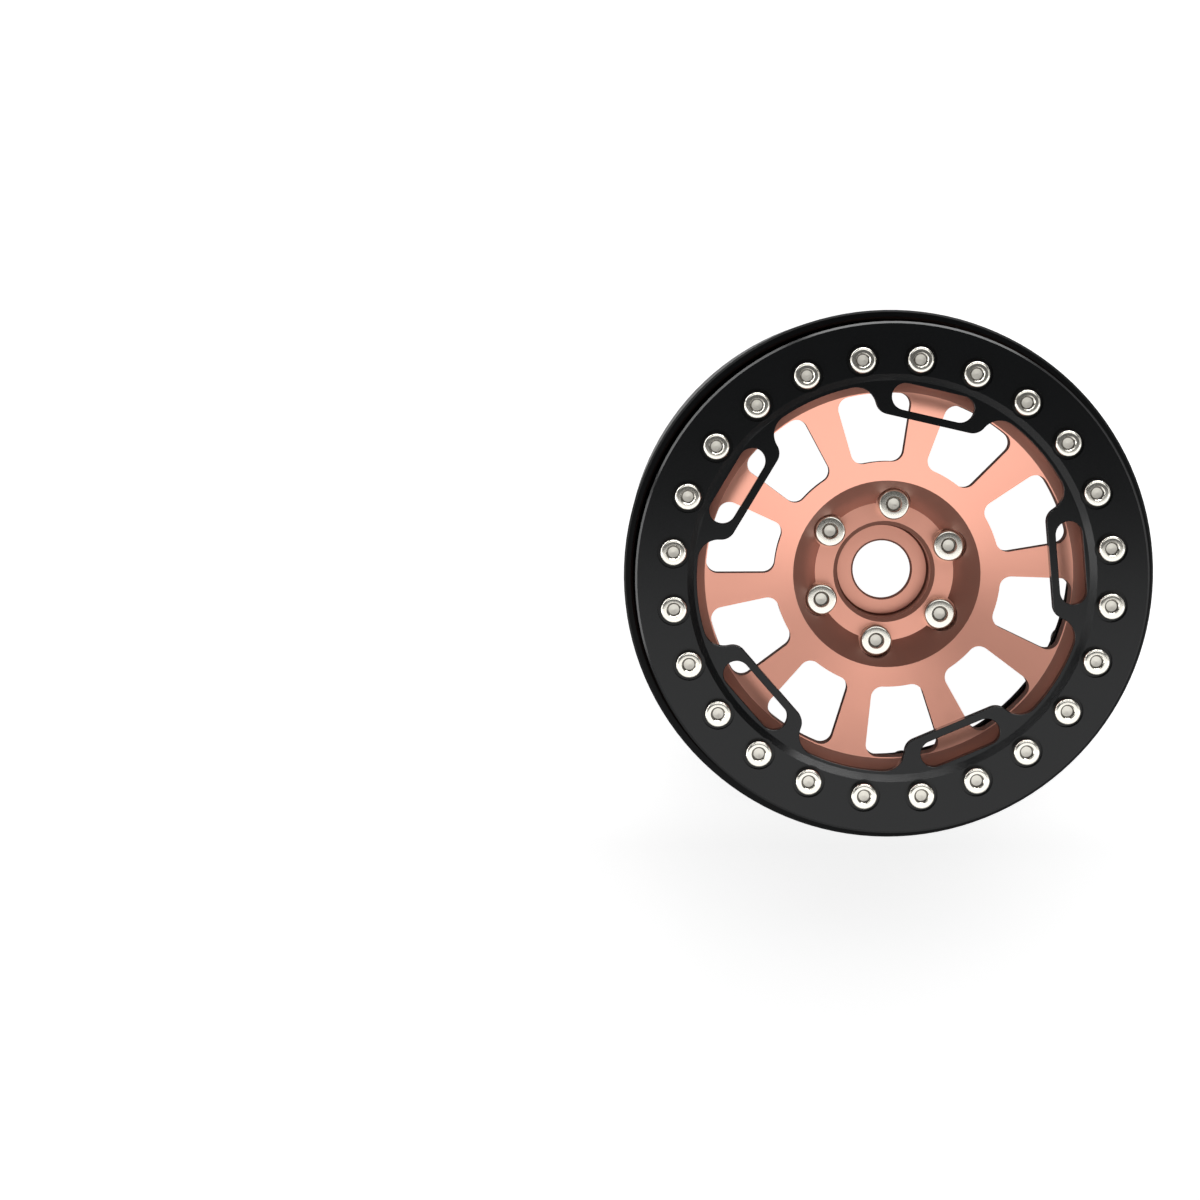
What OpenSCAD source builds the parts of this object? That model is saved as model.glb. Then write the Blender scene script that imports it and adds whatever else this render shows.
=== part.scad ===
// Beadlock wheel for a 2.2 inch crawler tyre, in millimetres.
// The axle runs along Z. The rear rim of the barrel stands on Z = 0 and the beadlock ring faces up.

/* [Wheel] */
// Height from the rear rim to the flat face of the front ring
wheel_h = 36; // [32:0.5:44]
// Gap for the tyre bead, from the barrel's rim to the back of the front ring
bead_gap = 3.9; // [3:0.1:5]

/* [Front ring] */
// Outer diameter of the front ring
ring_d = 63; // [61:0.5:66]
// Thickness of the front ring at its edge
ring_t = 2.5; // [2.3:0.1:3.2]
// Chamfer on the ring's outer edge
ring_edge = 0.25; // [0.1:0.05:0.5]
// Diameter at which the flat face ends and steps down to the lip
step_d = 50.2; // [49.8:0.1:50.6]
// How far the lip and the loops lie below the flat face
lip_drop = 0.8; // [0.5:0.1:1.2]
// Inner diameter of the lip between the loops
lip_d = 47.8; // [47.4:0.1:48]

/* [Loops of the ring] */
// Number of loops
loop_count = 5; // [3:1:6]
// Distance from the axle to the near edge of a loop's bar
bar_reach = 19.5; // [18.5:0.1:19.9]
// Width of the bar
bar_w = 0.95; // [0.8:0.05:1.3]
// Half length of the bar's straight edge
bar_half = 5.15; // [4.6:0.05:5.4]
// Radius of the corner from the bar to its foot
foot_r = 1.8; // [1.4:0.1:2.1]
// Radius of the hollow where the foot runs into the lip
root_r = 2.55; // [2:0.05:3]
// Half length of the slot behind the bar
slot_half = 5.15; // [4.5:0.05:5.3]
// Width of the slot
slot_w = 3.3; // [2.8:0.1:3.5]

/* [Drum] */
// Diameter of the drum that the bead sits round
drum_d = 55.9; // [55.7:0.1:57]
// Wall of the drum behind the spokes
drum_wall = 2.05; // [1.9:0.05:2.6]
// Diameter of the drum's mouth, which the lip of the ring drops into
mouth_d = 49.2; // [49:0.1:49.8]
// Diameter of the drum's front flange, hidden in the back of the ring
flange_d = 58.6; // [58:0.1:60]
// Thickness of that flange
flange_t = 1.2; // [0.9:0.1:1.4]

/* [Spokes] */
// Number of spokes, and of windows
spoke_count = 10; // [8:1:12]
// Depth of the spoke face below the ring's face, at its outer end
dish_rim = 5.4; // [4.8:0.1:6.5]
// Depth of the spoke face below the ring's face, at the hub recess
dish_hub = 8.5; // [7.5:0.1:9.5]
// Thickness of the spokes
spoke_t = 3; // [2:0.1:4]
// Diameter where the spoke face meets the sloped wall
dish_d = 45.8; // [45.6:0.1:46.4]
// Inner diameter of the ring of windows
window_in_d = 28.3; // [27.5:0.1:30]
// Outer diameter of the ring of windows
window_out_d = 45.5; // [44:0.1:45.5]
// Angle taken by the flat of one spoke, in degrees
spoke_angle = 11.6; // [9:0.2:14]
// Slope that carries the spokes into the drum from behind
spoke_root = 1.5; // [1:0.1:2.5]
// Corner radius of the windows
window_r = 1.45; // [1:0.05:1.6]

/* [Hub] */
// Diameter of the recess in the hub, at the spoke face
recess_d = 23.5; // [23:0.1:25]
// Diameter of the flat at the bottom of the recess
recess_floor_d = 17.56; // [17:0.1:18.4]
// Depth of that flat below the ring's face
recess_drop = 13.1; // [12.4:0.1:14]
// Thickness of the hub under the flat
hub_t = 5; // [4:0.1:6]
// Outer diameter of the hub behind the spokes
hub_d = 25.4; // [25:0.1:27]
// Chamfer on the hub's rear edge
hub_edge = 0.4; // [0.2:0.1:0.8]
// Diameter of the hole through the hub
pilot_d = 11.9; // [11:0.1:12.2]
// Chamfer at the front of that hole
pilot_chamfer = 0.5; // [0.3:0.05:0.6]

/* [Hub adapter] */
// Height of the adapter's nose inside the hub's hole
nose_h = 0.7; // [0.5:0.1:2]
// Chamfer round the nose
nose_chamfer = 0.2; // [0.1:0.05:0.3]
// Thickness of the wall that the axle nut clamps
nose_wall = 1; // [0.8:0.1:2]
// Bore for the axle
bore_d = 7.4; // [6:0.1:8]
// Chamfer at the front of the bore
bore_chamfer = 0.23; // [0.1:0.01:0.3]
// Diameter of the adapter's flange
adapter_d = 22.6; // [21.6:0.1:24]
// Thickness of the adapter's flange
adapter_t = 2.5; // [2:0.1:3]
// Width across the flats of the drive hex
hex_w = 12; // [11:0.5:12]
// Depth of the drive hex
hex_depth = 7; // [5:0.5:8]
// Chamfer on the rear edge of the wall round the hex
hex_edge = 0.4; // [0.2:0.1:0.8]
// Wall round the corners of the drive hex
hex_wall = 1.7; // [1.2:0.1:2.2]

/* [Barrel] */
// Outer diameter of the barrel
barrel_d = 66; // [65:0.5:70]
// Wall of the barrel
barrel_wall = 1.1; // [0.9:0.1:1.4]
// Chamfer on the barrel's rims
rim_edge = 0.25; // [0.1:0.05:0.4]
// Depth of the barrel's web inside its rear rim
web_depth = 8; // [5:0.5:10]
// Thickness of the web
web_t = 2; // [1.5:0.1:3]
// Diameter of the opening in the web
web_bore_d = 49; // [47:0.5:51]
// Fillet between the web and the barrel
web_fillet = 1; // [0.5:0.1:1.5]

/* [Ring screws] */
// Number of screws in the ring
ring_screw_count = 24; // [12:1:24]
// Diameter of the circle they stand on
ring_pitch_d = 54; // [53.8:0.05:54.2]
// Diameter of their heads
ring_head_d = 3.25; // [2.9:0.05:3.4]
// Height of their heads
ring_head_h = 1.6; // [1.3:0.1:1.8]
// Depth of the seat that the heads sit in
ring_seat = 0.6; // [0.3:0.1:0.6]
// Thread of the ring screws and of the barrel screws
ring_thread = 1.6; // [1.4:0.05:1.6]
// Length of the ring screws under the head
ring_screw_l = 6; // [4:0.5:10]
// Width across the flats of their hex sockets
ring_hex = 1.5; // [1.3:0.1:1.6]
// Depth of their hex sockets
ring_hex_depth = 1; // [0.8:0.1:1.1]

/* [Hub screws] */
// Number of screws in the hub
hub_screw_count = 6; // [4:1:6]
// Diameter of the circle they stand on
hub_pitch_d = 17.44; // [17:0.1:17.8]
// Diameter of their heads
hub_head_d = 3.93; // [3.6:0.05:4]
// Height of their heads
hub_head_h = 2; // [1.6:0.1:2.4]
// Thread of the hub screws
hub_thread = 2; // [1.6:0.1:2]
// How far they reach into the adapter's flange
hub_reach = 2; // [1:0.1:2]
// Width across the flats of their hex sockets
hub_hex = 2; // [1.6:0.1:2.1]
// Depth of their hex sockets
hub_hex_depth = 1.2; // [0.8:0.1:1.4]

/* [Barrel screws] */
// Number of screws that hold the barrel to the drum
barrel_screw_count = 12; // [6:1:24]
// Length of the barrel screws under the head
barrel_screw_l = 6; // [4:0.5:10]

/* [Shape of all the screws] */
// Radius on the edge of a head, and chamfer at the end of a shank
head_edge = 0.23; // [0.1:0.01:0.3]
// How far the chamfer of a socket reaches past the corners of its hex
socket_mouth = 0.25; // [0.1:0.05:0.3]
// Depth of that chamfer
socket_chamfer = 0.35; // [0.2:0.05:0.4]
// How far a tapped hole runs on past the end of its screw
tap_run = 0.3; // [0.1:0.05:0.4]

/* [Fits] */
// Clearance all round between turned pieces that slide together
slide_fit = 0.05; // [0.02:0.01:0.08]
// Clearance all round a screw in its through hole
hole_fit = 0.1; // [0.05:0.01:0.15]
// Clearance all round a screw in its thread
thread_fit = 0.01; // [0.01:0.01:0.02]
// Clearance all round a screw's head in its seat
seat_fit = 0.4; // [0.2:0.05:0.45]

/* [Hidden] */
$fn = 96;
eps = 0.01;
margin = 1;

black = [0.07, 0.07, 0.08];
copper = [0.86, 0.55, 0.46];
steel = [0.82, 0.81, 0.76];

// Heights worked out from the driving sizes
ring_z = wheel_h - ring_t;
lip_z = wheel_h - lip_drop;
flange_z = ring_z + flange_t;
barrel_h = ring_z - bead_gap;
drum_z = web_depth + web_t;
dish_rim_z = wheel_h - dish_rim;
dish_hub_z = wheel_h - dish_hub;
floor_z = wheel_h - recess_drop;
hub_z = floor_z - hub_t;
adapter_z = hub_z - adapter_t;
nose_z = hub_z + nose_h;
socket_z = nose_z - nose_wall;
adapter_rear_z = socket_z - hex_depth;

// Radii that more than one module needs
ring_r = ring_d / 2;
drum_r = drum_d / 2;
drum_in_r = drum_r - drum_wall;
mouth_r = mouth_d / 2;
lip_r = lip_d / 2;
hub_r = hub_d / 2;
barrel_r = barrel_d / 2;
web_seat_r = (drum_in_r + drum_r) / 2;
first_loop = 90;
first_barrel_screw = 180 / barrel_screw_count;
sector_steps = 12;
corner_steps = 10;
fillet_steps = 6;
edge_steps = 3;

function at(r, a) = [r * cos(a), r * sin(a)];
function arc(centre, r, from, to, steps) =
    [for (i = [0:steps]) centre + at(r, from + (to - from) * i / steps)];
function turned(points, a) =
    [for (p = points) [p[0] * cos(a) - p[1] * sin(a), p[0] * sin(a) + p[1] * cos(a)]];
function mirrored(points) = [for (i = [len(points) - 1:-1:0]) [points[i][0], -points[i][1]]];
function slope_z(r) = dish_hub_z
    + (dish_rim_z - dish_hub_z) * (r - recess_d / 2) / (dish_d / 2 - recess_d / 2);

// One window, centred on the X axis: radial sides, round corners, ends that follow the wheel
module window_outline() {
    half = 180 / spoke_count - spoke_angle / 2;
    near = window_in_d / 2 + window_r;
    far = window_out_d / 2 - window_r;
    near_a = half - asin(window_r / near);
    far_a = half - asin(window_r / far);
    upper = concat(
        arc([0, 0], window_out_d / 2, 0, far_a, sector_steps),
        arc(at(far, far_a), window_r, far_a, half + 90, corner_steps),
        arc(at(near, near_a), window_r, half + 90, near_a + 180, corner_steps),
        arc([0, 0], window_in_d / 2, near_a, 0, sector_steps));
    inner = [for (i = [1:len(upper) - 2]) upper[i]];
    polygon(concat(upper, mirrored(inner)));
}

// Half of the ring's opening from the middle of one loop to the middle of the lip beside it
function half_opening() =
    let (foot = [bar_reach + foot_r, bar_half],
         foot_a = atan2(foot[1], foot[0]),
         root_reach = lip_r - root_r,
         spread = acos((pow(norm(foot), 2) + pow(root_reach, 2) - pow(foot_r + root_r, 2))
                       / (2 * norm(foot) * root_reach)),
         root_a = foot_a + spread,
         root = at(root_reach, root_a),
         across = atan2(root[1] - foot[1], root[0] - foot[0]))
    concat(arc(foot, foot_r, 180, across, corner_steps),
           arc(root, root_r, across - 180, root_a, corner_steps),
           arc([0, 0], lip_r, root_a, 180 / loop_count, sector_steps));

module ring_opening() {
    half = half_opening();
    lead = [for (i = [0:len(half) - 2]) half[i]];
    one = concat(mirrored(lead), half);
    polygon([for (k = [0:loop_count - 1]) each turned(one, first_loop + 360 * k / loop_count)]);
}

module loop_slot() {
    end = slot_half - slot_w / 2;
    middle = bar_reach + bar_w + slot_w / 2;
    polygon(concat(arc([middle, end], slot_w / 2, 0, 180, 2 * corner_steps),
                   arc([middle, -end], slot_w / 2, 180, 360, 2 * corner_steps)));
}

module around(count, pitch_d, first = 0) {
    for (k = [0:count - 1]) rotate(first + 360 * k / count) translate([pitch_d / 2, 0]) children();
}

// A cap screw standing on the origin with its shank down
module cap_screw(head_d, head_h, thread, length, hex, hex_deep) {
    head_r = head_d / 2;
    corner_r = hex / 2 / cos(30);
    difference() {
        rotate_extrude() polygon(concat(
            [[0, -length], [thread / 2 - head_edge, -length], [thread / 2, head_edge - length],
             [thread / 2, 0], [head_r, 0]],
            arc([head_r - head_edge, head_h - head_edge], head_edge, 0, 90, edge_steps),
            [[0, head_h]]));
        translate([0, 0, head_h - hex_deep]) cylinder(h = hex_deep + eps, r = corner_r, $fn = 6);
        translate([0, 0, head_h - socket_chamfer])
            cylinder(h = socket_chamfer + eps, r1 = corner_r + socket_mouth - socket_chamfer,
                     r2 = corner_r + socket_mouth + eps);
    }
}

module front_ring() color(black) {
    recess_r = flange_d / 2 + slide_fit;
    spigot_r = mouth_r - slide_fit;
    step_r = step_d / 2;
    difference() {
        rotate_extrude() polygon([
            [bar_reach - margin, ring_z], [spigot_r, ring_z], [spigot_r, flange_z], [recess_r, flange_z],
            [recess_r, ring_z], [ring_r - ring_edge, ring_z], [ring_r, ring_z + ring_edge],
            [ring_r, wheel_h - ring_edge], [ring_r - ring_edge, wheel_h], [step_r, wheel_h],
            [step_r - lip_drop, lip_z], [bar_reach - margin, lip_z]]);
        translate([0, 0, ring_z - margin]) linear_extrude(ring_t + 2 * margin) ring_opening();
        for (k = [0:loop_count - 1]) rotate(first_loop + 360 * k / loop_count)
            translate([0, 0, ring_z - margin]) linear_extrude(ring_t + 2 * margin) loop_slot();
        around(ring_screw_count, ring_pitch_d, first_loop) {
            translate([0, 0, ring_z - margin])
                cylinder(h = ring_t + 2 * margin, r = ring_thread / 2 + hole_fit);
            translate([0, 0, wheel_h - ring_seat])
                cylinder(h = ring_seat + margin, r = ring_head_d / 2 + seat_fit);
        }
    }
}

module wheel_centre() color(copper) {
    pilot_r = pilot_d / 2;
    root_r_in = drum_in_r - spoke_root;
    difference() {
        rotate_extrude() polygon([
            [pilot_r, hub_z], [hub_r - hub_edge, hub_z], [hub_r, hub_z + hub_edge],
            [hub_r, slope_z(hub_r) - spoke_t], [root_r_in, slope_z(root_r_in) - spoke_t],
            [drum_in_r, slope_z(drum_in_r) - spoke_t - spoke_root], [drum_in_r, drum_z],
            [drum_r, drum_z], [drum_r, ring_z], [flange_d / 2, ring_z], [flange_d / 2, flange_z],
            [mouth_r, flange_z], [mouth_r, ring_z],
            [dish_d / 2, dish_rim_z], [recess_d / 2, dish_hub_z], [recess_floor_d / 2, floor_z],
            [pilot_r + pilot_chamfer, floor_z], [pilot_r, floor_z - pilot_chamfer]]);
        for (k = [0:spoke_count - 1]) rotate(first_loop + 360 * (k + 0.5) / spoke_count)
            translate([0, 0, hub_z - margin]) linear_extrude(ring_z - hub_z) window_outline();
        around(ring_screw_count, ring_pitch_d, first_loop)
            translate([0, 0, wheel_h - ring_seat - ring_screw_l - tap_run])
                cylinder(h = ring_screw_l + margin, r = ring_thread / 2 + thread_fit);
        around(hub_screw_count, hub_pitch_d) {
            translate([0, 0, hub_z - margin])
                cylinder(h = hub_t + 2 * margin, r = hub_thread / 2 + hole_fit);
            translate([0, 0, floor_z])
                cylinder(h = dish_hub_z, r = hub_head_d / 2 + seat_fit / 2);
        }
        around(barrel_screw_count, 2 * web_seat_r, first_barrel_screw)
            translate([0, 0, drum_z - margin])
                cylinder(h = barrel_screw_l - web_t + margin + tap_run,
                         r = ring_thread / 2 + thread_fit);
    }
}

module barrel() color(black) {
    in_r = barrel_r - barrel_wall;
    difference() {
        rotate_extrude() polygon(concat(
            [[barrel_r - rim_edge, 0], [barrel_r, rim_edge], [barrel_r, barrel_h - rim_edge],
             [barrel_r - rim_edge, barrel_h], [in_r + rim_edge, barrel_h], [in_r, barrel_h - rim_edge]],
            arc([in_r - web_fillet, drum_z + web_fillet], web_fillet, 0, -90, fillet_steps),
            [[web_bore_d / 2, drum_z], [web_bore_d / 2, web_depth]],
            arc([in_r - web_fillet, web_depth - web_fillet], web_fillet, 90, 0, fillet_steps),
            [[in_r, rim_edge], [in_r + rim_edge, 0]]));
        around(barrel_screw_count, 2 * web_seat_r, first_barrel_screw)
            translate([0, 0, web_depth - margin])
                cylinder(h = web_t + 2 * margin, r = ring_thread / 2 + hole_fit);
    }
}

module hub_adapter() color(copper) {
    nose_r = pilot_d / 2 - slide_fit;
    socket_r = hex_w / 2 / cos(30) + hex_wall;
    difference() {
        rotate_extrude() polygon([
            [0, adapter_rear_z], [socket_r - hex_edge, adapter_rear_z], [socket_r, adapter_rear_z + hex_edge],
            [socket_r, adapter_z], [adapter_d / 2, adapter_z], [adapter_d / 2, hub_z],
            [nose_r, hub_z], [nose_r, nose_z - nose_chamfer], [nose_r - nose_chamfer, nose_z],
            [0, nose_z]]);
        translate([0, 0, adapter_rear_z - margin])
            cylinder(h = hex_depth + margin, d = hex_w / cos(30), $fn = 6);
        translate([0, 0, socket_z - margin]) cylinder(h = nose_wall + 2 * margin, d = bore_d);
        translate([0, 0, nose_z - bore_chamfer])
            cylinder(h = bore_chamfer + eps, r1 = bore_d / 2, r2 = bore_d / 2 + bore_chamfer + eps);
        around(hub_screw_count, hub_pitch_d)
            translate([0, 0, hub_z - hub_reach - tap_run])
                cylinder(h = hub_reach + tap_run + margin, r = hub_thread / 2 + thread_fit);
    }
}

module ring_screws() color(steel)
    around(ring_screw_count, ring_pitch_d, first_loop) translate([0, 0, wheel_h - ring_seat])
        cap_screw(ring_head_d, ring_head_h, ring_thread, ring_screw_l, ring_hex, ring_hex_depth);

module hub_screws() color(steel)
    around(hub_screw_count, hub_pitch_d) translate([0, 0, floor_z])
        cap_screw(hub_head_d, hub_head_h, hub_thread, hub_t + hub_reach, hub_hex, hub_hex_depth);

module barrel_screws() color(steel)
    around(barrel_screw_count, 2 * web_seat_r, first_barrel_screw)
        translate([0, 0, web_depth]) mirror([0, 0, 1])
            cap_screw(ring_head_d, ring_head_h, ring_thread, barrel_screw_l, ring_hex, ring_hex_depth);

front_ring();
wheel_centre();
barrel();
hub_adapter();
ring_screws();
hub_screws();
barrel_screws();
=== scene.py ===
"""A beadlock wheel for a crawler tyre: finishes its machined pieces, cuts its screws and sets it in a
studio."""

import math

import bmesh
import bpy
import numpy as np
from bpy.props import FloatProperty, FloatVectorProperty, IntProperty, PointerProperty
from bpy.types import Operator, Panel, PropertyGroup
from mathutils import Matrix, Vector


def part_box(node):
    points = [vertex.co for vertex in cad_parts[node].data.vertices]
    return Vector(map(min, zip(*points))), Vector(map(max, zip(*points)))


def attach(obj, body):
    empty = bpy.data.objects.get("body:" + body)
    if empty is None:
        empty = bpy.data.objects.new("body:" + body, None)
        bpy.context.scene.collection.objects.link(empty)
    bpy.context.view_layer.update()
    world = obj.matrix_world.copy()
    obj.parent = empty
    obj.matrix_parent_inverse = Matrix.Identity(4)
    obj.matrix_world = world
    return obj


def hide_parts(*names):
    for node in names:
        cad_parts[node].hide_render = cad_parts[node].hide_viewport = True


bl_info = {
    "name": "Beadlock Wheel",
    "version": (1, 0, 0),
    "blender": (4, 5, 0),
    "location": "View3D > Sidebar > Wheel",
    "description": "Finishes the pieces of a beadlock wheel and sets it in a plain studio",
    "category": "Object",
}

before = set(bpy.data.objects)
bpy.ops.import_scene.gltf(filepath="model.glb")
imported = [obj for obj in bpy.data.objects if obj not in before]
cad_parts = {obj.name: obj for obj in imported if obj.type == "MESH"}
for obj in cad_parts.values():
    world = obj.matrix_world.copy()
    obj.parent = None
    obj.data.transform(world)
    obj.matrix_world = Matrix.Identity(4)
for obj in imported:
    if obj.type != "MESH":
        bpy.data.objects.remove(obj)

BODY = "root"
MM = 0.001
MERGE = 0.0005 * MM  # points closer than this are one
PLATED, SOCKET_SHADE, DRILLED = 0, 1, 2  # a screw's materials, by their place in its list


class WheelFinish(PropertyGroup):
    """Colours of the wheel's metal, and how its edges and surfaces are worked."""

    black: FloatVectorProperty(
        name="Black", description="Black anodising of the ring and the barrel",
        subtype="COLOR", size=3, min=0, max=1, default=(0.0032, 0.0036, 0.004))
    copper: FloatVectorProperty(
        name="Copper", description="Copper anodising of the centre and the adapter",
        subtype="COLOR", size=3, min=0, max=1, default=(0.84, 0.40, 0.30))
    # Painted shade: a darker copper put on steep faces near the axle, standing in for the shade that falls in
    # the recesses and between the spokes.
    copper_painted_shade: FloatVectorProperty(
        name="Copper painted shade", description="Copper anodising on steep, sheltered faces",
        subtype="COLOR", size=3, min=0, max=1, default=(0.34, 0.165, 0.125))
    nickel: FloatVectorProperty(
        name="Nickel", description="Nickel plating of the screws",
        subtype="COLOR", size=3, min=0, max=1, default=(0.84, 0.81, 0.73))
    # Painted shade: a dark colour for the walls inside the screws' sockets, standing in for the shade there.
    socket: FloatVectorProperty(
        name="Socket", description="Colour of the screws' socket walls",
        subtype="COLOR", size=3, min=0, max=1, default=(0.2, 0.185, 0.16))
    edge: FloatProperty(
        name="Edge", description="Width of the broken edges of the machined pieces",
        default=0.11 * MM, min=0.01 * MM, max=0.2 * MM, unit="LENGTH", precision=5)
    edge_angle: FloatProperty(
        name="Edge angle", description="Corners that turn further than this are broken",
        default=math.radians(60), min=0.1, max=1.5, unit="ROTATION")
    hollow: FloatProperty(
        name="Hollow", description="How deep the sloped wall round the spokes is hollowed",
        default=0.22 * MM, unit="LENGTH", precision=5)
    blend_radius: FloatProperty(
        name="Blend", description="Radius at which the spokes start to turn up into that wall",
        default=22.6 * MM, unit="LENGTH", precision=5)
    web_bore: FloatProperty(
        name="Web bore", description="Radius of the opening in the barrel's web",
        default=25.3 * MM, unit="LENGTH", precision=5)
    tool_pitch: FloatProperty(
        name="Tool pitch", description="Distance between the lathe's marks",
        default=0.09 * MM, min=0.02 * MM, max=1 * MM, unit="LENGTH", precision=5)


class RingScrewShape(PropertyGroup):
    """Sizes of the cap screws in the ring and behind the barrel's web."""

    count: IntProperty(name="In the ring", description="Screws in the ring", default=24, min=3, max=48)
    pitch_radius: FloatProperty(
        name="Ring circle", description="Radius of the circle they stand on in the ring",
        default=27.0 * MM, unit="LENGTH", precision=5)
    barrel_count: IntProperty(
        name="Behind the web", description="Screws behind the web", default=12, min=3, max=48)
    barrel_radius: FloatProperty(
        name="Web circle", description="Radius of the circle they stand on behind the web",
        default=26.925 * MM, unit="LENGTH", precision=5)
    head_radius: FloatProperty(
        name="Head radius", description="Radius of a head", default=1.625 * MM, unit="LENGTH", precision=5)
    head_height: FloatProperty(
        name="Head height", description="Height of a head", default=1.6 * MM, unit="LENGTH", precision=5)
    shoulder: FloatProperty(
        name="Shoulder", description="Radius on the edge of a head", default=0.4 * MM, unit="LENGTH",
        precision=5)
    thread_radius: FloatProperty(
        name="Thread radius", description="Outer radius of the thread", default=0.8 * MM, unit="LENGTH",
        precision=5)
    thread_pitch: FloatProperty(
        name="Thread pitch", description="Rise of the thread in one turn", default=0.35 * MM, unit="LENGTH",
        precision=5)
    hex_width: FloatProperty(
        name="Socket", description="Width across the flats of the hex socket", default=1.5 * MM,
        unit="LENGTH", precision=5)
    hex_depth: FloatProperty(
        name="Socket depth", description="Depth of the hex socket", default=0.8 * MM, unit="LENGTH",
        precision=5)
    mouth: FloatProperty(
        name="Socket mouth", description="How far its chamfer reaches past the hex's corners",
        default=0.05 * MM, unit="LENGTH", precision=5)


class HubScrewShape(PropertyGroup):
    """Sizes of the cap screws in the hub."""

    count: IntProperty(name="In the hub", description="Screws in the hub", default=6, min=3, max=12)
    pitch_radius: FloatProperty(
        name="Hub circle", description="Radius of the circle they stand on", default=8.72 * MM, unit="LENGTH",
        precision=5)
    head_radius: FloatProperty(
        name="Head radius", description="Radius of a head", default=1.965 * MM, unit="LENGTH", precision=5)
    head_height: FloatProperty(
        name="Head height", description="Height of a head", default=2.0 * MM, unit="LENGTH", precision=5)
    shoulder: FloatProperty(
        name="Shoulder", description="Radius on the edge of a head", default=0.35 * MM, unit="LENGTH",
        precision=5)
    thread_radius: FloatProperty(
        name="Thread radius", description="Outer radius of the thread", default=1.0 * MM, unit="LENGTH",
        precision=5)
    thread_pitch: FloatProperty(
        name="Thread pitch", description="Rise of the thread in one turn", default=0.4 * MM, unit="LENGTH",
        precision=5)
    hex_width: FloatProperty(
        name="Socket", description="Width across the flats of the hex socket", default=1.6 * MM,
        unit="LENGTH", precision=5)
    hex_depth: FloatProperty(
        name="Socket depth", description="Depth of the hex socket", default=0.9 * MM, unit="LENGTH",
        precision=5)
    mouth: FloatProperty(
        name="Socket mouth", description="How far its chamfer reaches past the hex's corners",
        default=0.1 * MM, unit="LENGTH", precision=5)


class StudioSettings(PropertyGroup):
    """The camera's place as seen from the wheel, and the lights and the floor."""

    distance: FloatProperty(
        name="Distance", description="Distance of the camera from the plane of the screw heads",
        default=0.350, unit="LENGTH")
    image_side: IntProperty(
        name="Image side", description="Side of the square photograph, in pixels", default=1200)
    pixels_per_mm: FloatProperty(
        name="Scale", description="Pixels for a millimetre on the wheel's face", default=8.17)
    wheel_right: FloatProperty(
        name="Wheel right", description="How far right of the middle the axle stands, in pixels",
        default=292.4)
    wheel_up: FloatProperty(
        name="Wheel up", description="How far above the middle the axle stands, in pixels", default=20.6)
    lean_right: FloatProperty(
        name="Lean right", description="Share of the axle's direction that points to the right",
        default=-0.0237)
    lean_up: FloatProperty(
        name="Lean up", description="Share of the axle's direction that points up", default=-0.0802)
    roll: FloatProperty(
        name="Roll", description="How far the wheel is turned about its axle",
        default=math.radians(203.05), unit="ROTATION")
    head_proud: FloatProperty(
        name="Aim", description="How far above the ring's face the camera's aim lies", default=0.6 * MM,
        unit="LENGTH", precision=5)
    light: FloatProperty(name="Light", description="Level of all the lamps", default=1.0, min=0)
    ambient: FloatProperty(name="Ambient", description="Level of the world", default=0.1, min=0)


# Node groups and materials

def put(tree, kind, place=(0, 0), **values):
    """Adds a node, and sets its inputs by name where a value is given."""
    made = tree.nodes.new(kind)
    made.location = place
    for key, value in values.items():
        made.inputs[key.replace("_", " ")].default_value = value
    return made


def open_group(name, inputs, outputs):
    """Starts a shader node group with float inputs, given with their defaults, and float outputs."""
    group = bpy.data.node_groups.new(name, "ShaderNodeTree")
    for label, value in inputs.items():
        socket = group.interface.new_socket(name=label, in_out="INPUT", socket_type="NodeSocketFloat")
        socket.default_value = value
    for label in outputs:
        group.interface.new_socket(name=label, in_out="OUTPUT", socket_type="NodeSocketFloat")
    return group, group.nodes.new("NodeGroupInput"), group.nodes.new("NodeGroupOutput")


def maths(tree, operation, first, second=None):
    """One Math node between sockets or plain numbers; gives its output."""
    made = tree.nodes.new("ShaderNodeMath")
    made.operation = operation
    for socket, value in zip(made.inputs, (first, second)):
        if value is None:
            continue
        if isinstance(value, (int, float)):
            socket.default_value = value
        else:
            tree.links.new(value, socket)
    return made.outputs[0]


def distance_from_axle(tree, place):
    """Distance of a point from the axle, from its coordinates: the root of x squared plus y squared."""
    parts = tree.nodes.new("ShaderNodeSeparateXYZ")
    tree.links.new(place, parts.inputs[0])
    across = maths(tree, "MULTIPLY", parts.outputs["X"], parts.outputs["X"])
    along = maths(tree, "MULTIPLY", parts.outputs["Y"], parts.outputs["Y"])
    return maths(tree, "SQRT", maths(tree, "ADD", across, along))


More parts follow.
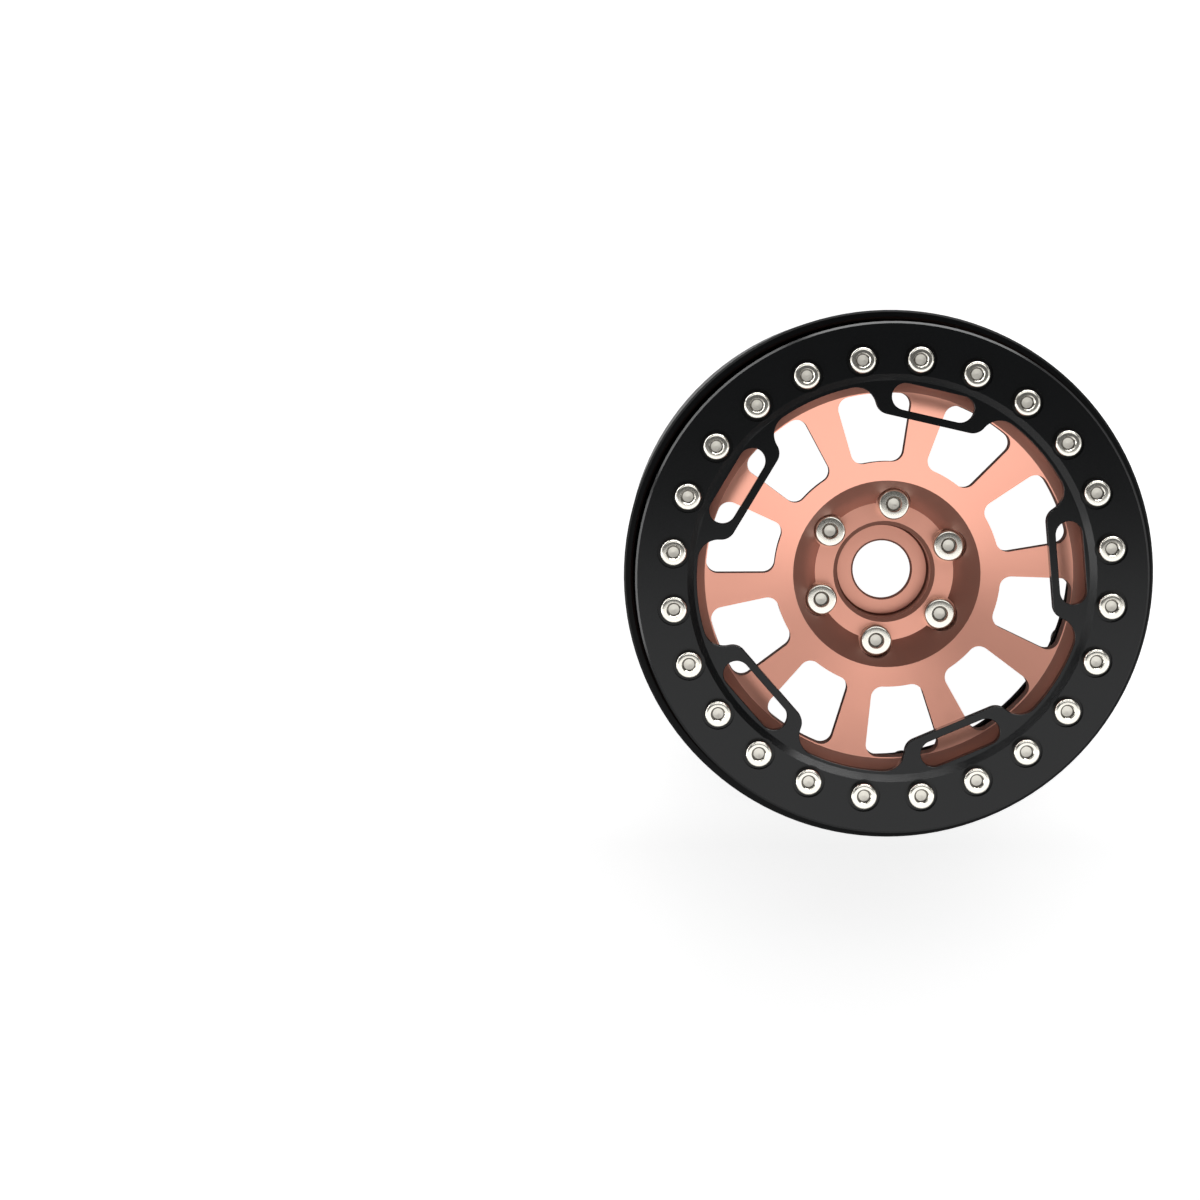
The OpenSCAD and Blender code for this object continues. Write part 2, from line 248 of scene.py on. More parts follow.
def lathe_group():
    """Marks of a lathe: noise of the distance from the axle plus the height, and a slow cloud over the whole
    surface."""
    known = bpy.data.node_groups.get("Lathe marks")
    if known:
        return known
    group, given, result = open_group(
        "Lathe marks", {"Pitch": 0.1 * MM, "Cloud Size": 12 * MM}, ("Marks", "Cloud"))
    place = group.nodes.new("ShaderNodeTexCoord").outputs["Object"]
    parts = group.nodes.new("ShaderNodeSeparateXYZ")
    group.links.new(place, parts.inputs[0])
    radius = distance_from_axle(group, place)
    lines = maths(group, "DIVIDE", maths(group, "ADD", radius, parts.outputs["Z"]), given.outputs["Pitch"])
    marks = put(group, "ShaderNodeTexNoise", Detail=2.0, Roughness=0.6, Scale=1.0)
    marks.noise_dimensions = "1D"
    group.links.new(lines, marks.inputs["W"])
    cloud = put(group, "ShaderNodeTexNoise", Detail=3.0, Roughness=0.5)
    group.links.new(place, cloud.inputs["Vector"])
    group.links.new(maths(group, "DIVIDE", 1.0, given.outputs["Cloud Size"]), cloud.inputs["Scale"])
    group.links.new(marks.outputs["Fac"], result.inputs["Marks"])
    group.links.new(cloud.outputs["Fac"], result.inputs["Cloud"])
    return group


def painted_shade_group():
    """Mask of painted shade: steep faces nearer the axle than Reach and above Level, where shade falls in the
    recesses, are painted darker through it. It rises from 0 to 1 as the face's normal tilts away from the
    axle's direction."""
    known = bpy.data.node_groups.get("Painted recess shade")
    if known:
        return known
    group, given, result = open_group("Painted recess shade", {"Reach": 30 * MM, "Level": 18 * MM}, ("Painted Shade",))
    source = group.nodes.new("ShaderNodeTexCoord")
    facing = group.nodes.new("ShaderNodeSeparateXYZ")
    group.links.new(source.outputs["Normal"], facing.inputs[0])
    steep = group.nodes.new("ShaderNodeMapRange")
    steep.interpolation_type = "SMOOTHSTEP"
    for label, value in (("From Min", 0.95), ("From Max", 0.68), ("To Min", 0.0), ("To Max", 1.0)):
        steep.inputs[label].default_value = value
    group.links.new(facing.outputs["Z"], steep.inputs["Value"])
    height = group.nodes.new("ShaderNodeSeparateXYZ")
    group.links.new(source.outputs["Object"], height.inputs[0])
    radius = distance_from_axle(group, source.outputs["Object"])
    near = maths(group, "LESS_THAN", radius, given.outputs["Reach"])
    above = maths(group, "GREATER_THAN", height.outputs["Z"], given.outputs["Level"])
    painted_shade = maths(group, "MULTIPLY", steep.outputs["Result"], maths(group, "MULTIPLY", near, above))
    group.links.new(painted_shade, result.inputs["Painted Shade"])
    return group


def grain_group():
    """The fine grain of an etched and anodised surface: two noises, one twice as fine as the other."""
    known = bpy.data.node_groups.get("Anodised grain")
    if known:
        return known
    group, given, result = open_group(
        "Anodised grain", {"Size": 0.12 * MM, "Depth": 1.0}, ("Height", "Speckle"))
    place = group.nodes.new("ShaderNodeTexCoord").outputs["Object"]
    scale = maths(group, "DIVIDE", 1.0, given.outputs["Size"])
    coarse = put(group, "ShaderNodeTexNoise", Detail=1.0)
    fine = put(group, "ShaderNodeTexNoise", Detail=0.0)
    for noise, factor in ((coarse, 1.0), (fine, 2.0)):
        group.links.new(place, noise.inputs["Vector"])
        group.links.new(maths(group, "MULTIPLY", scale, factor), noise.inputs["Scale"])
    both = maths(group, "ADD", coarse.outputs["Fac"], fine.outputs["Fac"])
    group.links.new(maths(group, "MULTIPLY", both, given.outputs["Depth"]), result.inputs["Height"])
    group.links.new(coarse.outputs["Fac"], result.inputs["Speckle"])
    return group


def place_group(tree, group, **values):
    """Places a node group in a material with its own values."""
    made = tree.nodes.new("ShaderNodeGroup")
    made.node_tree = group
    for key, value in values.items():
        made.inputs[key.replace("_", " ")].default_value = value
    return made


def spread(tree, source, low, high):
    """Maps a noise that runs from 0 to 1 to the span from low to high."""
    made = tree.nodes.new("ShaderNodeMapRange")
    made.inputs["To Min"].default_value = low
    made.inputs["To Max"].default_value = high
    tree.links.new(source, made.inputs["Value"])
    return made.outputs["Result"]


def tinted(tree, source, colour, change):
    """A colour that gets lighter and darker by a share, following a noise."""
    made = tree.nodes.new("ShaderNodeMix")
    made.data_type = "RGBA"
    made.inputs["A"].default_value = (*(max(0.0, c * (1 - change)) for c in colour), 1)
    made.inputs["B"].default_value = (*(min(1.0, c * (1 + change)) for c in colour), 1)
    tree.links.new(source, made.inputs["Factor"])
    return made.outputs["Result"]


def metal(name, colour, metallic, roughness, pitch, marks=0.0, grain=0.0, anisotropy=0.0, change=0.03,
          swing=0.04, deep=None, specular=0.5, dulling=0.6):
    """A turned and plated or anodised surface: lathe marks and grain feed its bump, roughness and colour.
    deep is a darker colour painted in as shade on steep faces in the recesses, where the surface also loses
    the share dulling of its metallic shine as part of that painted shade."""
    known = bpy.data.materials.get(name)
    if known:
        return known
    made = bpy.data.materials.new(name)
    made.use_nodes = True
    tree = made.node_tree
    shader = tree.nodes["Principled BSDF"]
    shader.inputs["Metallic"].default_value = metallic
    shader.inputs["Anisotropic"].default_value = anisotropy
    shader.inputs["Specular IOR Level"].default_value = specular
    lathe = place_group(tree, lathe_group(), Pitch=pitch)
    etched = place_group(tree, grain_group())
    base = tinted(tree, lathe.outputs["Cloud"], colour, change)
    # Painted shade: steep faces in the recesses are mixed towards the deep colour and lose some metallic
    # shine.
    if deep is not None:
        painted_shade = place_group(tree, painted_shade_group())
        painted_shade_mix = tree.nodes.new("ShaderNodeMix")
        painted_shade_mix.data_type = "RGBA"
        tree.links.new(painted_shade.outputs["Painted Shade"], painted_shade_mix.inputs["Factor"])
        tree.links.new(base, painted_shade_mix.inputs["A"])
        painted_shade_mix.inputs["B"].default_value = (*deep, 1)
        base = painted_shade_mix.outputs["Result"]
        dulled = maths(tree, "MULTIPLY", painted_shade.outputs["Painted Shade"], dulling * metallic)
        tree.links.new(maths(tree, "SUBTRACT", metallic, dulled), shader.inputs["Metallic"])
    tree.links.new(base, shader.inputs["Base Color"])
    both = maths(tree, "ADD", lathe.outputs["Marks"], etched.outputs["Speckle"])
    worked = maths(tree, "MULTIPLY", both, 0.5)
    tree.links.new(spread(tree, worked, roughness - swing, roughness + swing), shader.inputs["Roughness"])
    height = maths(tree, "ADD", maths(tree, "MULTIPLY", lathe.outputs["Marks"], marks),
                   maths(tree, "MULTIPLY", etched.outputs["Height"], grain))
    bump = put(tree, "ShaderNodeBump", Strength=1.0, Distance=MM)
    tree.links.new(height, bump.inputs["Height"])
    tree.links.new(bump.outputs["Normal"], shader.inputs["Normal"])
    if anisotropy:
        tangent = tree.nodes.new("ShaderNodeTangent")
        tangent.direction_type = "RADIAL"
        tangent.axis = "Z"
        tree.links.new(tangent.outputs["Tangent"], shader.inputs["Tangent"])
    return made


def black_anodise():
    """Satin black anodised aluminium, turned."""
    finish = bpy.context.scene.wheel_finish
    return metal("Black anodised aluminium", finish.black, 0.0, 0.2, finish.tool_pitch,
                 marks=0.0003, grain=0.0002, change=0.12, specular=0.31)


def dull_black_anodise():
    """The barrel's black anodised aluminium, duller than the ring's."""
    finish = bpy.context.scene.wheel_finish
    return metal("Dull black anodised aluminium", finish.black, 0.0, 0.4, finish.tool_pitch,
                 marks=0.0005, grain=0.0004, change=0.12, specular=0.12)


def copper_anodise():
    """Satin copper anodised aluminium, turned, so that it shines in two opposite fans."""
    finish = bpy.context.scene.wheel_finish
    # Its steep faces near the axle take the painted shade colour.
    return metal("Copper anodised aluminium", finish.copper, 1.0, 0.34, finish.tool_pitch,
                 marks=0.0006, grain=0.0005, anisotropy=0.5, deep=finish.copper_painted_shade)


def nickel_plate():
    """Bright nickel plated steel."""
    finish = bpy.context.scene.wheel_finish
    return metal("Nickel plated steel", finish.nickel, 1.0, 0.17, finish.tool_pitch, grain=0.0003)


def drilled_nickel():
    """Nickel on a socket's drilled floor, rough from the drill."""
    finish = bpy.context.scene.wheel_finish
    return metal("Rough nickel plated steel", finish.nickel, 0.8, 0.42, finish.tool_pitch, grain=0.0012,
                 change=0.1)


def socket_shade_steel():
    """The walls of a broached socket, rough from the tool, with the shade inside the socket painted dark into
    their colour.
    """
    finish = bpy.context.scene.wheel_finish
    return metal("Socket steel with painted shade", finish.socket, 0.8, 0.42, finish.tool_pitch, grain=0.0012, change=0.1)


def screw_finishes():
    """A screw's materials, in the order of PLATED, SOCKET_SHADE and DRILLED."""
    return nickel_plate(), socket_shade_steel(), drilled_nickel()


# Meshes

def show(piece, node, slot, *materials):
    """Gives a piece its materials and its place in the frame, in the stead of the node that it stands for."""
    for material in materials:
        piece.data.materials.append(material)
    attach(piece, BODY)
    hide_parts(node)


def set_radius(point, radius):
    """Moves a point of a skin straight out or in to a radius."""
    scale = radius / point.co.xy.length
    point.co.x *= scale
    point.co.y *= scale


def cut_seams(skin, faces, place, normal):
    """Cuts the given faces by a plane and marks the cut, so that the clearing of flats leaves it."""
    parts = {part for face in faces for part in (face, *face.edges, *face.verts)}
    cut = bmesh.ops.bisect_plane(skin, geom=list(parts), dist=MERGE, plane_co=place, plane_no=normal)
    for part in cut["geom_cut"]:
        if isinstance(part, bmesh.types.BMEdge):
            part.seam = True


def sloped_faces(skin, tilt, reach, low=0.0):
    """The faces of a skin whose normal's z lies between two values, and whose middle lies between two radii
    and above a height."""
    found = []
    for face in skin.faces:
        middle = face.calc_center_median()
        if tilt[0] < face.normal.z < tilt[1] and reach[0] < middle.xy.length < reach[1] and middle.z > low:
            found.append(face)
    return found


def hollow_wall(skin):
    """Hollows the sloped wall between the spokes and the drum's mouth. With t running from 0 at its foot to 1
    at its mouth, a point goes straight into the wall by 4 times the hollow times t times (1 - t)."""
    finish = bpy.context.scene.wheel_finish
    wall_tilt, wall_reach = (0.35, 0.7), (22.5 * MM, math.inf)
    spoke_tilt, spoke_low = (0.93, 0.99), 27 * MM
    cuts, tolerance = 7, 0.05 * MM
    points = [point.co for face in sloped_faces(skin, wall_tilt, wall_reach) for point in face.verts]
    foot = np.array([min(place.xy.length for place in points), min(place.z for place in points)])
    mouth = np.array([max(place.xy.length for place in points), max(place.z for place in points)])
    for share in np.linspace(0, 1, cuts + 2)[1:-1]:
        wall = sloped_faces(skin, wall_tilt, wall_reach)
        cut_seams(skin, wall, (0, 0, foot[1] + share * (mouth[1] - foot[1])), (0, 0, 1))
    along = (mouth - foot) / np.linalg.norm(mouth - foot)
    into = np.array([along[1], -along[0]])
    for point in skin.verts:
        place = np.array([point.co.xy.length, point.co.z])
        share = (place[1] - foot[1]) / (mouth[1] - foot[1])
        if 0.001 < share < 0.999 and abs((place - foot) @ into) < tolerance:
            goal = place + into * 4 * finish.hollow * share * (1 - share)
            set_radius(point, goal[0])
            point.co.z = goal[1]
    spokes = sloped_faces(skin, spoke_tilt, (0, foot[0]), spoke_low)
    inner = min((point.co.xy.length, point.co.z) for face in spokes for point in face.verts)
    rise = (foot[1] - inner[1]) / (foot[0] - inner[0])
    cut_seams(skin, spokes, (0, 0, foot[1] - rise * (foot[0] - finish.blend_radius)), (0, 0, 1))


def widen_web(skin):
    """Sets the radius of the opening in the barrel's web, which is the barrel's smallest circle."""
    tolerance = 0.02 * MM
    bore = min(point.co.xy.length for point in skin.verts) + tolerance
    for point in [kept for kept in skin.verts if kept.co.xy.length < bore]:
        set_radius(point, bpy.context.scene.wheel_finish.web_bore)


def placed(name, mesh):
    """An object of a mesh, in the scene."""
    piece = bpy.data.objects.new(name, mesh)
    bpy.context.scene.collection.objects.link(piece)
    return piece


def broken_edges(node, name, low, high, form=None):
    """A copy of a node with its triangles merged into one skin, its flats cleared of inner edges, and every
    corner between two radii that turns further than the edge angle broken by a narrow chamfer. form changes
    the copy first. Cuts through the axle, one for each sector, keep each flat face free of holes."""
    finish = bpy.context.scene.wheel_finish
    sector, flat_angle, smooth_angle = 15, math.radians(0.4), math.radians(28)
    imported = ("custom_normal", "sharp_edge", "sharp_face")
    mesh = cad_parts[node].data.copy()
    mesh.name = name
    mesh.materials.clear()
    for layer in [kept for kept in mesh.attributes if kept.name in imported]:
        mesh.attributes.remove(layer)
    skin = bmesh.new()
    skin.from_mesh(mesh)
    bmesh.ops.remove_doubles(skin, verts=skin.verts, dist=MERGE)
    skin.normal_update()
    if form is not None:
        form(skin)
    for turn in np.radians(np.arange(0, 180, sector)):
        cut_seams(skin, skin.faces, (0, 0, 0), (math.cos(turn), math.sin(turn), 0))
    bmesh.ops.dissolve_limit(skin, angle_limit=flat_angle, verts=skin.verts, edges=skin.edges,
                             delimit={"SEAM"})
    corner = [edge for edge in skin.edges if edge.is_manifold and edge.calc_face_angle() > finish.edge_angle
              and low < min(point.co.xy.length for point in edge.verts)
              and max(point.co.xy.length for point in edge.verts) < high]
    bmesh.ops.bevel(skin, geom=corner, offset=finish.edge, offset_type="OFFSET", segments=1, profile=0.5,
                    affect="EDGES", clamp_overlap=True, loop_slide=True)
    skin.to_mesh(mesh)
    skin.free()
    mesh.shade_smooth()
    mesh.set_sharp_from_angle(angle=smooth_angle)
    return placed(name, mesh)


def closed_mesh(name, rows, bands):
    """A skin over closed rows of points. rows is an array of copies by rows by columns by xyz, and its first
    and last rows are each drawn in to their middle. Rows run outwards and down, columns run anticlockwise.
    bands gives the material of each band of faces: the first cap, those between the rows, the last cap."""
    copies, height, width = rows.shape[:3]
    ends = np.stack([rows[:, 0].mean(1), rows[:, -1].mean(1)], 1)
    each = height * width + 2
    points = np.concatenate([rows.reshape(copies, -1, 3), ends], 1)
    column = np.arange(width)
    after = (column + 1) % width
    start = (np.arange(height - 1) * width)[:, None]
    quads = np.stack([start + column, start + width + column, start + width + after, start + after], -1)
    first = np.stack([np.full(width, height * width), column, after], -1)
    last_row = (height - 1) * width
    last = np.stack([last_row + column, np.full(width, height * width + 1), last_row + after], -1)
    shift = (np.arange(copies) * each)[:, None, None]
    quads = (quads.reshape(1, -1, 4) + shift).reshape(-1, 4)
    fans = (np.concatenate([first, last])[None] + shift).reshape(-1, 3)
    mesh = bpy.data.meshes.new(name)
    mesh.vertices.add(copies * each)
    mesh.vertices.foreach_set("co", points.astype(np.float32).ravel())
    corners = np.concatenate([quads.ravel(), fans.ravel()])
    mesh.loops.add(len(corners))
    mesh.loops.foreach_set("vertex_index", corners.astype(np.int32))
    starts = np.concatenate([np.arange(len(quads)) * 4, quads.size + np.arange(len(fans)) * 3])
    mesh.polygons.add(len(starts))
    mesh.polygons.foreach_set("loop_start", starts.astype(np.int32))
    between = np.tile(np.repeat(bands[1:-1], width), copies)
    caps = np.tile(np.repeat([bands[0], bands[-1]], width), copies)
    mesh.polygons.foreach_set("material_index", np.concatenate([between, caps]).astype(np.int32))
    mesh.update(calc_edges=True)
    mesh.validate()
    return mesh


def arc(centre, radius, start, end, steps):
    """Points of an arc in the plane of a section, from one angle to another, in degrees."""
    turn = np.radians(np.linspace(start, end, steps + 1))
    return [(centre[0] + radius * np.cos(t), centre[1] + radius * np.sin(t)) for t in turn]


def cap_screw_rows(shape, length, columns=36, rows_per_turn=5):
    """One cap screw on the origin, its head's underside at height 0. Its section runs from the drilled point
    of the socket over the hex and its chamfer, the flat, the shoulder and the side, then down the thread.
    A hex wall lies at half its width over the cosine of the angle from the nearest flat's middle, and its
    chamfer ends where a 45 degree cone meets that wall. A thread is a triangle wave of height over pitch
    less angle over a full turn."""
    turn = np.arange(columns) * 2 * np.pi / columns
    half = shape.hex_width / 2
    hexagon = half / np.cos(np.mod(turn, np.pi / 3) - np.pi / 6)
    mouth = half / math.cos(math.pi / 6) + shape.mouth
    top = shape.head_height
    floor = top - shape.hex_depth
    drill = 0.88 * half
    dimple = 0.2 * drill
    root = 0.06 * MM
    flat = np.ones(columns)
    section = [(0.05 * drill * flat, (floor - dimple) * flat), (drill * flat, floor * flat),
               (hexagon, floor * flat), (hexagon, top - (mouth - hexagon)), (mouth * flat, top * flat)]
    edge = arc((shape.head_radius - shape.shoulder, top - shape.shoulder), shape.shoulder, 90, 0, 6)
    edge += arc((shape.head_radius - root, root), root, 0, -90, 2)
    edge += [(shape.thread_radius, 0)]
    section += [(r * flat, z * flat) for r, z in edge]
    plain = 0.5 * shape.thread_pitch
    tip = 0.6 * shape.thread_pitch
    heights = -np.arange(plain, length - tip, shape.thread_pitch / rows_per_turn)
    depth = 0.6 * shape.thread_pitch
    for z in heights:
        wave = np.abs(2 * np.mod(z / shape.thread_pitch - turn / (2 * np.pi), 1) - 1)
        fade = min(1.0, (-z - plain) / shape.thread_pitch)
        section.append((shape.thread_radius - depth * fade * wave, z * flat))
    section.append(((shape.thread_radius - depth) * flat, (tip - length) * flat))
    section.append(((shape.thread_radius - depth - tip / 2) * flat, -length * flat))
    radius = np.array([r for r, _ in section])
    height = np.array([z for _, z in section])
    return np.stack([radius * np.cos(turn), radius * np.sin(turn), height], -1)


def screw_circle(name, rows, count, radius, first, seat, downwards=False):
    """Copies of one screw round the axle. Each is turned a golden angle further than the one before."""
    step = np.arange(count)
    place = np.radians(first) + 2 * np.pi * step / count
    own = step * math.radians(137.5)
    x, y, z = rows[..., 0], rows[..., 1], rows[..., 2]
    cosine, sine = (f(own)[:, None, None] for f in (np.cos, np.sin))
    flip = -1.0 if downwards else 1.0
    around = np.stack([x * cosine - y * sine, flip * (x * sine + y * cosine),
                       flip * np.broadcast_to(z, (count, *z.shape))], -1)
    centres = np.stack([radius * np.cos(place), radius * np.sin(place), np.full(count, seat)], -1)
    around += centres[:, None, None]
    socket = [DRILLED, DRILLED, SOCKET_SHADE, SOCKET_SHADE]
    mesh = closed_mesh(name, around, socket + [PLATED] * (rows.shape[0] + 1 - len(socket)))
    mesh.shade_smooth()
    mesh.set_sharp_from_angle(angle=math.radians(32))
    return placed(name, mesh)


# Operators

class WHEEL_OT_clamp_ring(Operator):
    """Finish the front ring with its loops"""

    bl_idname = "wheel.clamp_ring"
    bl_label = "Clamp Ring"

    def execute(self, context):
        piece = broken_edges("front_ring", "clamp_ring", 0, 24.2 * MM)
        show(piece, "front_ring", "black_ring", black_anodise())
        return {"FINISHED"}


class WHEEL_OT_spoked_centre(Operator):
    """Finish the dished centre with its spokes, hub and drum"""

    bl_idname = "wheel.spoked_centre"
    bl_label = "Spoked Centre"

    def execute(self, context):
        piece = broken_edges("wheel_centre", "spoked_centre", 13 * MM, 23.5 * MM, hollow_wall)
        show(piece, "wheel_centre", "copper_anodise", copper_anodise())
        return {"FINISHED"}


class WHEEL_OT_outer_barrel(Operator):
    """Finish the barrel with its rims and its web"""

    bl_idname = "wheel.outer_barrel"
    bl_label = "Outer Barrel"

    def execute(self, context):
        piece = broken_edges("barrel", "outer_barrel", 0, 26 * MM, widen_web)
        show(piece, "barrel", "black_barrel", dull_black_anodise())
        return {"FINISHED"}


class WHEEL_OT_drive_adapter(Operator):
    """Finish the hub adapter with its nose and its drive hex"""

    bl_idname = "wheel.drive_adapter"
    bl_label = "Drive Adapter"

    def execute(self, context):
        piece = broken_edges("hub_adapter", "drive_adapter", 0, 7.5 * MM)
        show(piece, "hub_adapter", "copper_nose", copper_anodise())
        return {"FINISHED"}


class WHEEL_OT_ring_screws(Operator):
    """Cut the screws that clamp the ring"""

    bl_idname = "wheel.ring_screws"
    bl_label = "Ring Screws"

    def execute(self, context):
        shape = context.scene.ring_screw_shape
        low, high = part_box("ring_screws")
        seat = high.z - shape.head_height
        rows = cap_screw_rows(shape, seat - low.z)
        piece = screw_circle("ring_cap_screws", rows, shape.count, shape.pitch_radius, 90, seat)
        show(piece, "ring_screws", "nickel", *screw_finishes())
        return {"FINISHED"}


class WHEEL_OT_hub_screws(Operator):
    """Cut the screws that hold the adapter to the hub"""

    bl_idname = "wheel.hub_screws"
    bl_label = "Hub Screws"

    def execute(self, context):
        shape = context.scene.hub_screw_shape
        low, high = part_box("hub_screws")
        seat = high.z - shape.head_height
        rows = cap_screw_rows(shape, seat - low.z, columns=60)
        piece = screw_circle("hub_cap_screws", rows, shape.count, shape.pitch_radius, 0, seat)
        show(piece, "hub_screws", "nickel", *screw_finishes())
        return {"FINISHED"}


class WHEEL_OT_barrel_screws(Operator):
    """Cut the screws that hold the barrel's web to the drum"""

    bl_idname = "wheel.barrel_screws"
    bl_label = "Barrel Screws"

    def execute(self, context):
        shape = context.scene.ring_screw_shape
        low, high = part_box("barrel_screws")
        seat = low.z + shape.head_height
        rows = cap_screw_rows(shape, high.z - seat)
        first = 180 / shape.barrel_count
        piece = screw_circle("barrel_cap_screws", rows, shape.barrel_count, shape.barrel_radius, first, seat,
                             downwards=True)
        show(piece, "barrel_screws", "nickel", *screw_finishes())
        return {"FINISHED"}


def camera_place(studio, aim):
    """The camera's matrix in the wheel's frame. The axle's direction and the place of the aim point are known
    in the camera's own axes (right, up, back), so the wheel's matrix there is made and turned round."""
    axle = Vector((studio.lean_right, studio.lean_up, 0))
    axle.z = math.sqrt(1 - axle.length_squared)
    across = (Vector((1, 0, 0)) - axle * axle.x).normalized()
    upward = axle.cross(across)
    cosine, sine = math.cos(studio.roll), math.sin(studio.roll)
    x = across * cosine + upward * sine
    y = upward * cosine - across * sine
    turn = Matrix((x, y, axle)).transposed()
    focal = studio.distance / MM * studio.pixels_per_mm
    target = studio.distance * Vector((studio.wheel_right / focal, studio.wheel_up / focal, -1))
    place = Matrix.Translation(target - turn @ Vector((0, 0, aim))) @ turn.to_4x4()
    return place.inverted(), focal


def soft_lamp(name, view, place, size, level, target):
    """A soft rectangular lamp. Its place and its target are right, up and towards the camera, from the middle
    of the wheel's face, and its level is the brightness that a mirror would show of it."""
    centre, axes = view
    data = bpy.data.lights.new(name, "AREA")
    data.shape = "RECTANGLE"
    data.size, data.size_y = size
    data.energy = level * math.pi * size[0] * size[1]
    lamp = bpy.data.objects.new(name, data)
    lamp.location = centre + axes @ Vector(place)
    aim = centre + axes @ Vector(target)
    lamp.rotation_mode = "QUATERNION"
    lamp.rotation_quaternion = (aim - lamp.location).to_track_quat("-Z", "Y")
    lamp.visible_camera = False
    bpy.context.scene.collection.objects.link(lamp)


def floor_material(reach):
    """A white floor that glows a little where the camera or a reflection sees it, so that only the shadow
    close to the wheel stays grey. Inside reach, behind the windows, it is all white for the camera alone."""
    seen, reflected = 0.72, 0.3
    made = bpy.data.materials.new("Studio floor")
    made.use_nodes = True
    tree = made.node_tree
    shader = tree.nodes["Principled BSDF"]
    shader.inputs["Base Color"].default_value = (0.9, 0.9, 0.9, 1)
    shader.inputs["Roughness"].default_value = 0.9
    shader.inputs["Specular IOR Level"].default_value = 0.0
    rays = tree.nodes.new("ShaderNodeLightPath")
    place = tree.nodes.new("ShaderNodeTexCoord").outputs["Object"]
    inside = maths(tree, "LESS_THAN", distance_from_axle(tree, place), reach)
    outside = maths(tree, "SUBTRACT", 1.0, inside)
    camera = maths(tree, "ADD", maths(tree, "MULTIPLY", outside, seen), inside)
    mirrored = maths(tree, "MULTIPLY", outside, reflected)
    glow = put(tree, "ShaderNodeEmission")
    level = maths(tree, "ADD", maths(tree, "MULTIPLY", rays.outputs["Is Camera Ray"], camera),
                  maths(tree, "MULTIPLY", rays.outputs["Is Glossy Ray"], mirrored))
    tree.links.new(level, glow.inputs["Strength"])
    both = tree.nodes.new("ShaderNodeAddShader")
    tree.links.new(shader.outputs[0], both.inputs[0])
    tree.links.new(glow.outputs[0], both.inputs[1])
    tree.links.new(both.outputs[0], tree.nodes["Material Output"].inputs["Surface"])
    return made


# name, place, size, level and target, as soft_lamp takes them
LAMPS = (("Table bounce", (0, -0.036, 0.13), (0.8, 0.26), 1.25, (0, 0.2, 0.13)),
         ("Overhead", (0.1, 0.42, 0.42), (0.7, 0.6), 0.55, (0, 0, 0)),
         ("Right side", (0.55, 0.0, 0.38), (0.4, 0.5), 0.75, (0, 0, 0)),
         ("Left side", (-0.55, -0.05, 0.35), (0.4, 0.5), 0.45, (0, 0, 0)),
         ("Top edge", (0.08, 0.5, 0.055), (0.5, 0.1), 9.0, (0, 0, 0)),
         ("Corner edge", (-0.36, 0.36, 0.03), (0.42, 0.08), 6.0, (0, 0, 0)),
         ("Left edge", (-0.5, -0.02, 0.0), (0.35, 0.09), 5.0, (0, 0, 0)),
         ("Front fill", (0.0, 0.28, 0.5), (0.7, 0.2), 1.1, (0, 0, 0)))


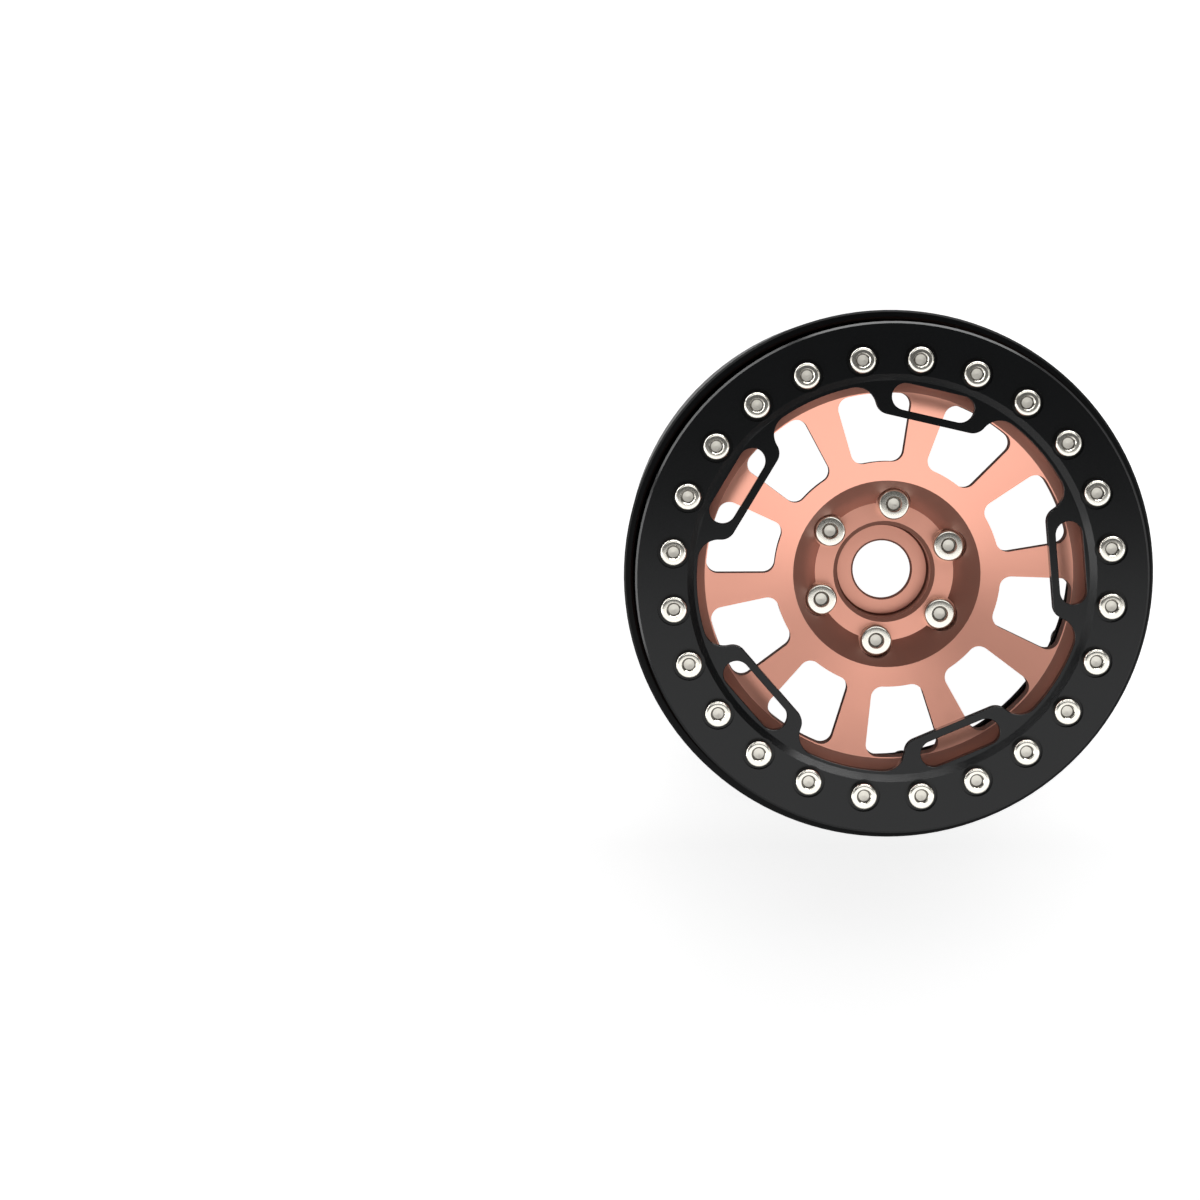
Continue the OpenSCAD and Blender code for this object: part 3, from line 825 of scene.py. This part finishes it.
class WHEEL_OT_studio(Operator):
    """Set the floor, the lights, the world and the camera"""

    bl_idname = "wheel.studio"
    bl_label = "Studio"

    def execute(self, context):
        scene = context.scene
        studio = scene.wheel_studio
        scene.view_settings.view_transform = "Standard"
        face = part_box("front_ring")[1].z
        place, focal = camera_place(studio, face + studio.head_proud)
        data = bpy.data.cameras.new("Camera")
        data.sensor_width = 36
        data.lens = focal / studio.image_side * data.sensor_width
        data.clip_start = 0.01
        data.clip_end = 10
        camera = bpy.data.objects.new("Camera", data)
        camera.matrix_world = place
        scene.collection.objects.link(camera)
        scene.camera = camera

        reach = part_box("barrel")[1].x
        half = 2.0
        mesh = bpy.data.meshes.new("floor")
        mesh.from_pydata([(-half, -half, 0), (half, -half, 0), (half, half, 0), (-half, half, 0)], [],
                         [(0, 1, 2, 3)])
        floor = bpy.data.objects.new("floor", mesh)
        mesh.materials.append(floor_material(reach))
        scene.collection.objects.link(floor)

        view = (Vector((0, 0, face)), place.to_3x3())
        for name, where, size, level, target in LAMPS:
            soft_lamp(name, view, where, size, level * studio.light, target)
        world = bpy.data.worlds.new("Studio")
        world.use_nodes = True
        back = world.node_tree.nodes["Background"]
        back.inputs["Color"].default_value = (1, 1, 1, 1)
        back.inputs["Strength"].default_value = studio.ambient
        scene.world = world
        return {"FINISHED"}


PIECES = (WHEEL_OT_clamp_ring, WHEEL_OT_spoked_centre, WHEEL_OT_outer_barrel, WHEEL_OT_drive_adapter,
          WHEEL_OT_ring_screws, WHEEL_OT_hub_screws, WHEEL_OT_barrel_screws)
SETTINGS = {"wheel_finish": WheelFinish, "ring_screw_shape": RingScrewShape,
            "hub_screw_shape": HubScrewShape, "wheel_studio": StudioSettings}


class WHEEL_PT_sidebar(Panel):
    """Settings and steps of the wheel"""

    bl_label = "Beadlock Wheel"
    bl_idname = "WHEEL_PT_sidebar"
    bl_space_type = "VIEW_3D"
    bl_region_type = "UI"
    bl_category = "Wheel"

    def draw(self, context):
        for name, kind in SETTINGS.items():
            box = self.layout.box()
            for key in kind.__annotations__:
                box.prop(getattr(context.scene, name), key)
        for step in (*PIECES, WHEEL_OT_studio):
            self.layout.operator(step.bl_idname)


CLASSES = (*SETTINGS.values(), *PIECES, WHEEL_OT_studio, WHEEL_PT_sidebar)


def register():
    for kind in CLASSES:
        bpy.utils.register_class(kind)
    for name, kind in SETTINGS.items():
        setattr(bpy.types.Scene, name, PointerProperty(type=kind))


def unregister():
    for name in SETTINGS:
        delattr(bpy.types.Scene, name)
    for kind in reversed(CLASSES):
        bpy.utils.unregister_class(kind)


def corners(bounds):
    """The lowest and highest corner as plain lists."""
    return [list(corner) for corner in bounds]


def main():
    """Makes every piece and the studio."""
    register()
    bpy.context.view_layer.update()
    bpy.ops.wheel.clamp_ring()
    bpy.ops.wheel.spoked_centre()
    bpy.ops.wheel.outer_barrel()
    bpy.ops.wheel.drive_adapter()
    bpy.ops.wheel.ring_screws()
    bpy.ops.wheel.hub_screws()
    bpy.ops.wheel.barrel_screws()
    bpy.ops.wheel.studio()
    bpy.context.view_layer.update()


if __name__ == "__main__":
    main()
